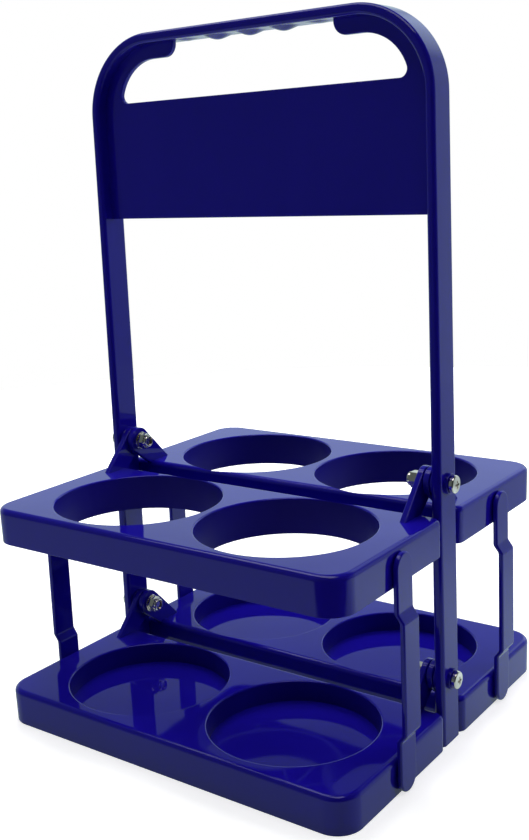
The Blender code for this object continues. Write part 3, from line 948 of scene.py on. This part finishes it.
def make_link():
    """A right-hand link about its upper pin."""
    link = to_object("link_strap", draw_strap())
    for height in (0.0, -tray_pitch):
        join(link, to_object("pin", draw_pin(height)), "UNION")
    polish(link)
    return link


link = make_link()
for end, way in (("front", -1), ("rear", 1)):
    for hand, side in (("left", -1), ("right", 1)):
        node = f"{end}_{hand}_link"
        spot = (side * link_reach, way * link_pin_y, tray_pitch + link_pin_height)
        placed = turned_copy(link, node + "_strap", place_at(spot, side))
        hand_over(placed, link_plastic, node, node)
print("link faces:", len(link.data.polygons))
bpy.data.objects.remove(link, do_unlink=True)

# %% [markdown]
# ## Pivot screws, washers and locking nuts
#
# The pivots are M4 pan-head screws, 20 mm long, with a cross recess. A screw is round about its
# axis, so its profile is spun. The recess is two crossed blades that narrow towards their foot,
# cut into the head. The washer lies on the inner ear.

# %% Turn the screw and the washer
head_height, head_radius = 2.5, 4.0
dome_radius, dome_degrees, dome_edge = 15.0, 12.7, 0.7
seat_chamfer, tip_chamfer = 0.2, 0.4
shank_radius, shank_length = 2.0, 20.0
blade_size, blade_taper, blade_place = (2.4, 4.4, 1.2), 0.6, 2.3
washer_bore, washer_radius, washer_thickness, washer_chamfer = 2.3, 4.5, 0.8, 0.15
about_x = ((0, 0, 0), (1, 0, 0), 64)


def draw_cross():
    """A cross recess that narrows towards its foot, as two crossed blades."""
    blades = []
    for degrees in (0, 90):
        drawing = bmesh.new()
        bmesh.ops.create_cube(drawing, size=1.0, matrix=Matrix.Diagonal((*blade_size, 1)))
        foot = [vert for vert in drawing.verts if vert.co.x < 0]
        bmesh.ops.scale(drawing, vec=(1, blade_taper, blade_taper), verts=foot)
        turn = Matrix.Rotation(math.radians(degrees), 4, "X")
        place = turn @ Matrix.Translation((blade_place, 0, 0))
        bmesh.ops.transform(drawing, matrix=place, verts=drawing.verts[:])
        blades.append(to_object("blade", drawing))
    return blades


def make_screw():
    """A right-hand pivot screw with its head seat at the origin."""
    drawing = bmesh.new()
    start = drawing.verts.new((head_height, 0, 0))
    dome_centre = (head_height - dome_radius, 0, 0)
    tip = compasses(drawing, start, dome_centre, -dome_degrees, 5)
    tip = compasses(drawing, tip, (tip.co.x - dome_edge, 0, tip.co.z), -90, 5)
    pen(drawing, tip, (seat_chamfer, 0, head_radius), (0, 0, head_radius - seat_chamfer),
        (0, 0, shank_radius), (tip_chamfer - shank_length, 0, shank_radius),
        (-shank_length, 0, shank_radius - tip_chamfer), (-shank_length, 0, 0))
    lathe(drawing, *about_x)
    screw = to_object("screw_blank", drawing)
    for blade in draw_cross():
        join(screw, blade, "DIFFERENCE")
    polish(screw, 34)
    return screw


def make_washer():
    """A washer that lies inwards from the origin."""
    drawing = bmesh.new()
    start = drawing.verts.new((0, 0, washer_bore))
    tip = pen(drawing, start, (0, 0, washer_radius - washer_chamfer),
              (-washer_chamfer, 0, washer_radius),
              (washer_chamfer - washer_thickness, 0, washer_radius),
              (-washer_thickness, 0, washer_radius - washer_chamfer),
              (-washer_thickness, 0, washer_bore))
    drawing.edges.new((tip, start))
    lathe(drawing, *about_x)
    washer = to_object("washer_blank", drawing)
    polish(washer, 34)
    return washer


# %% [markdown]
# ## The locking nut
#
# The nut is a hexagon. Its corners are trimmed by two cones, which is an intersection with a spun
# profile. A round collar at its inner end holds the locking ring.

# %% Form the nut
nut_flats, nut_height, nut_bore = 7.0, 3.4, 2.3
trim_ends, trim_shoulders = (2.2, 2.7), (1.25, 4.3)
collar_radius, collar_edge, collar_end = 3.1, 0.6, -5.0


def make_nut():
    """A locking nut that lies inwards from the origin."""
    drawing = bmesh.new()
    middle = -nut_height / 2
    place = Matrix.Translation((middle, 0, 0)) @ Matrix.Rotation(math.radians(90), 4, "Y")
    corner = nut_flats / 2 / math.cos(math.pi / 6)
    bmesh.ops.create_cone(
        drawing, cap_ends=True, segments=6, radius1=corner, radius2=corner, depth=nut_height,
        matrix=place,
    )
    nut = to_object("nut_blank", drawing)
    trim = bmesh.new()
    (end, end_radius), (shoulder, shoulder_radius) = trim_ends, trim_shoulders
    start = trim.verts.new((middle + end, 0, 0))
    pen(trim, start, (middle + end, 0, end_radius), (middle + shoulder, 0, shoulder_radius),
        (middle - shoulder, 0, shoulder_radius), (middle - end, 0, end_radius),
        (middle - end, 0, 0))
    lathe(trim, *about_x)
    join(nut, to_object("trim", trim), "INTERSECT")
    collar = bmesh.new()
    start = collar.verts.new((middle, 0, 0))
    tip = pen(collar, start, (middle, 0, collar_radius),
              (collar_end + collar_edge, 0, collar_radius))
    rounding = (collar_end + collar_edge, 0, collar_radius - collar_edge)
    tip = compasses(collar, tip, rounding, -90, 5)
    pen(collar, tip, (collar_end, 0, 0))
    lathe(collar, *about_x)
    join(nut, to_object("collar", collar), "UNION")
    join(nut, to_object("bore", rod(-6, 1, nut_bore, 0, 0)), "DIFFERENCE")
    polish(nut, 28)
    return nut


# %% Place the fasteners on the four pivots
screw_seat, washer_seat, nut_seat = 97.5, 82.7, 81.6

for kind, made, reach in (
    ("screw", make_screw(), screw_seat), ("washer", make_washer(), washer_seat),
    ("lock_nut", make_nut(), nut_seat),
):
    for storey, height in zip(("lower", "upper"), pivot_heights):
        for hand, side in (("left", -1), ("right", 1)):
            node = f"{storey}_{hand}_{kind}"
            turn = place_at((side * reach, 0, height), side)
            placed = turned_copy(made, node + "_plated", turn)
            hand_over(placed, nickel, "frame_and_screws", node)
    print(kind, "faces:", len(made.data.polygons))
    bpy.data.objects.remove(made, do_unlink=True)

# %% [markdown]
# ## Table, backdrop and light
#
# The photograph was taken on a white table with a white backdrop behind it and soft light from
# above and behind. Everything on the camera's side of the table is dark. Glossy plastic shows all
# of that: the decks mirror the backdrop, the right-hand faces catch its near end, and the front
# faces mirror only the table, which falls off into the dark.
#
# To the camera, table and world are white. The table glows a little less close to the carrier, so
# that its shadow stays visible there. In mirror images the table isn't lit but shows a painted
# pool of light, and the far table fades into the same room that the world shows, so that no edge
# is seen between them.

# %% Describe the room once, for the mirrors and for the table
mirror_gain = 1.25
matt_gain = 0.3
room_tint = "#e9ffff"
white_light = (1, 1, 1, 1)
backdrop_way = (-0.3, 0.95, 0.0)
lamp_way = (0.0, 0.87, 0.49)
times, plus, dot = ({"operation": name} for name in ("MULTIPLY", "ADD", "DOT_PRODUCT"))


def smooth(near, far, low, high):
    """The settings of a smooth ramp from one value to another."""
    return {"interpolation_type": "SMOOTHSTEP", "From Min": near, "From Max": far,
            "To Min": low, "To Max": high}


def room_light(tree, way, output):
    """How bright the room is in a direction: a pale backdrop, and the dark behind the camera."""
    parts = add(tree, "ShaderNodeSeparateXYZ", {}, [("Vector", way, output)])
    # The backdrop fades out sideways and above its top edge.
    towards = add(tree, "ShaderNodeVectorMath", {**dot, 1: backdrop_way}, [(0, way, output)])
    spread = add(
        tree, "ShaderNodeMapRange", smooth(-0.4, 1.15, 0.0, 0.56), [("Value", towards, "Value")]
    )
    rise = add(tree, "ShaderNodeMapRange", smooth(0.26, 0.52, 1.0, 0.12), [("Value", parts, "Z")])
    backdrop = add(tree, "ShaderNodeMath", times, [(0, spread, 0), (1, rise, 0)])
    # The left wall is a little lighter than the right one.
    left = add(tree, "ShaderNodeMapRange", smooth(0.5, -0.7, 0.02, 0.09), [("Value", parts, "X")])
    walls = add(tree, "ShaderNodeMath", plus, [(0, backdrop, 0), (1, left, 0)])
    # A bright patch high on the backdrop is the lamp behind it.
    lamp_side = add(tree, "ShaderNodeVectorMath", {**dot, 1: lamp_way}, [(0, way, output)])
    lamp_glow = add(
        tree, "ShaderNodeMapRange", smooth(0.93, 1.0, 0.0, 0.75), [("Value", lamp_side, "Value")]
    )
    return add(tree, "ShaderNodeMath", plus, [(0, walls, 0), (1, lamp_glow, 0)])


# %% Lay the table
table_radius = 900
camera_way = (0.603, -0.798, 0.0)


def make_table():
    """A pale round table that keeps the carrier's shadow, with a painted pool of light in mirrors.
    """
    drawing = bmesh.new()
    bmesh.ops.create_circle(drawing, cap_ends=True, segments=96, radius=table_radius)
    table = to_object("table", drawing)
    made = bpy.data.materials.new("pale_table")
    made.use_nodes = True
    tree = made.node_tree
    tree.nodes.clear()
    rays = add(tree, "ShaderNodeLightPath", {})
    place = add(tree, "ShaderNodeTexCoord", {})
    away = add(tree, "ShaderNodeVectorMath", {"operation": "LENGTH"}, [(0, place, "Object")])
    matt = add(tree, "ShaderNodeBsdfDiffuse", {"Color": linear("#d8d8d8")})
    rise = add(tree, "ShaderNodeMapRange", smooth(0.1, 0.4, 0.7, 1.0), [("Value", away, "Value")])
    shown = add(tree, "ShaderNodeMath", times, [(0, rise, 0), (1, rays, "Is Camera Ray")])
    glow = add(tree, "ShaderNodeEmission", {"Color": white_light}, [("Strength", shown, 0)])
    both = add(tree, "ShaderNodeAddShader", {}, [(0, matt, 0), (1, glow, 0)])

    # For mirror rays the table glows with a painted pool of light: brightest beside the rear trays
    # and painted dark beyond 0.24 m in front.
    parts = add(tree, "ShaderNodeSeparateXYZ", {}, [("Vector", place, "Object")])
    camera_side = add(
        tree, "ShaderNodeVectorMath", {**dot, 1: camera_way}, [(0, place, "Object")]
    )
    near = None
    for source, output, ramp in (
        (parts, "Y", (-0.05, 0.14, 0.34, 0.71)), (parts, "Y", (0.12, 0.32, 1.0, 0.56)),
        (camera_side, "Value", (0.215, 0.265, 1.0, 0.03)),
    ):
        band = add(tree, "ShaderNodeMapRange", smooth(*ramp), [("Value", source, output)])
        near = add(tree, "ShaderNodeMath", times, [(0, near, 0), (1, band, 0)]) if near else band
    outwards = add(
        tree, "ShaderNodeVectorMath", {"operation": "NORMALIZE"}, [(0, place, "Object")]
    )
    far = room_light(tree, outwards, "Vector")
    fade = add(tree, "ShaderNodeMapRange", smooth(0.4, 0.8, 0.0, 1.0), [("Value", away, "Value")])
    painted_pool_glow = add(
        tree, "ShaderNodeMix", {"data_type": "FLOAT"},
        [(0, fade, "Result"), (2, near, 0), (3, far, 0)],
    )
    gain = add(tree, "ShaderNodeMath", {**times, 1: mirror_gain}, [(0, painted_pool_glow, 0)])
    # The painted glow that mirror rays see in place of the lit table.
    mirrored = add(
        tree, "ShaderNodeEmission", {"Color": linear(room_tint)}, [("Strength", gain, 0)]
    )
    chosen = add(tree, "ShaderNodeMixShader", {},
                 [(0, rays, "Is Glossy Ray"), (1, both, 0), (2, mirrored, 0)])
    add(tree, "ShaderNodeOutputMaterial", {}, [("Surface", chosen, 0)])
    table.data.materials.append(made)


make_table()


# %% Hang the lamps and the backdrop
def softbox(name, spot, aim, width, depth, power, mirrored=True):
    """A soft lamp at a spot in metres that points at another."""
    lamp = bpy.data.lights.new(name, "AREA")
    lamp.shape = "RECTANGLE"
    lamp.size = width
    lamp.size_y = depth
    lamp.energy = power
    holder = bpy.data.objects.new(name, lamp)
    bpy.context.scene.collection.objects.link(holder)
    holder.location = spot
    holder.rotation_euler = (Vector(aim) - Vector(spot)).to_track_quat("-Z", "Y").to_euler()
    holder.visible_camera = False
    holder.visible_glossy = mirrored


# The key light is behind on the left, and only the overhead one shows as a highlight. The other
# two lift the right-hand end faces and the left ends of the front faces.
softbox("rear_left", (-0.3, 0.5, 1.0), (0.0, 0.0, 0.1), 0.8, 0.7, 9.0, mirrored=False)
softbox("overhead", (-0.12, -0.12, 1.05), (-0.1, -0.05, 0.1), 1.3, 0.5, 4.4)
softbox("rear_right", (0.8, 0.65, 0.45), (0.05, 0.0, 0.1), 0.6, 0.5, 3.4, mirrored=False)
softbox("left_fill", (-0.45, -0.5, 0.08), (0.0, -0.05, 0.06), 0.4, 0.12, 0.4, mirrored=False)

world = bpy.data.worlds.new("studio")
bpy.context.scene.world = world
world.use_nodes = True
sky = world.node_tree
sky.nodes.clear()
way = add(sky, "ShaderNodeTexCoord", {})
rays = add(sky, "ShaderNodeLightPath", {})
mirrored = add(sky, "ShaderNodeMapRange", {"To Min": matt_gain, "To Max": mirror_gain},
               [("Value", rays, "Is Glossy Ray")])
lit = add(sky, "ShaderNodeMath", times,
          [(0, room_light(sky, way, "Generated"), 0), (1, mirrored, "Result")])
room = add(sky, "ShaderNodeBackground", {"Color": linear(room_tint)}, [("Strength", lit, 0)])
white = add(sky, "ShaderNodeBackground", {"Color": white_light, "Strength": 1.0})
seen = add(sky, "ShaderNodeMixShader", {},
           [(0, rays, "Is Camera Ray"), (1, room, 0), (2, white, 0)])
add(sky, "ShaderNodeOutputWorld", {}, [("Surface", seen, 0)])
bpy.context.scene.view_settings.view_transform = "Standard"

# %% [markdown]
# ## The camera
#
# The camera was solved from the photograph together with the carrier's proportions: 37 degrees
# round to the right, 10 degrees down and tipped by 2.7 degrees, with a normal lens. A small
# shift puts the carrier where it stands in the photograph's frame.

# %% Set up the camera
azimuth, elevation, roll = (math.radians(angle) for angle in (37.12, 10.24, -2.73))
camera_place = (0.31051, -0.43346, 0.26155)
focal_px, middle_px, picture_px = 1131.2, (235.57, 370.03), (529, 840)
sensor = 36.0

ahead = Vector((-math.sin(azimuth) * math.cos(elevation),
                math.cos(azimuth) * math.cos(elevation), -math.sin(elevation)))
level = Vector((math.cos(azimuth), math.sin(azimuth), 0))
upright = level.cross(ahead)
right = math.cos(roll) * level + math.sin(roll) * upright
above = math.cos(roll) * upright - math.sin(roll) * level

camera_data = bpy.data.cameras.new("camera")
camera_data.sensor_width = sensor
camera_data.lens = focal_px * sensor / picture_px[1]
camera_data.shift_x = (picture_px[0] / 2 - middle_px[0]) / picture_px[1]
camera_data.shift_y = (middle_px[1] - picture_px[1] / 2) / picture_px[1]
camera_data.clip_start, camera_data.clip_end = 0.01, 20.0
camera = bpy.data.objects.new("camera", camera_data)
bpy.context.scene.collection.objects.link(camera)
turn = Matrix((right, above, -ahead)).transposed().to_4x4()
camera.matrix_world = Matrix.Translation(camera_place) @ turn
bpy.context.scene.camera = camera
print("lens in mm:", round(camera_data.lens, 2), "shift:", round(camera_data.shift_x, 4),
      round(camera_data.shift_y, 4))
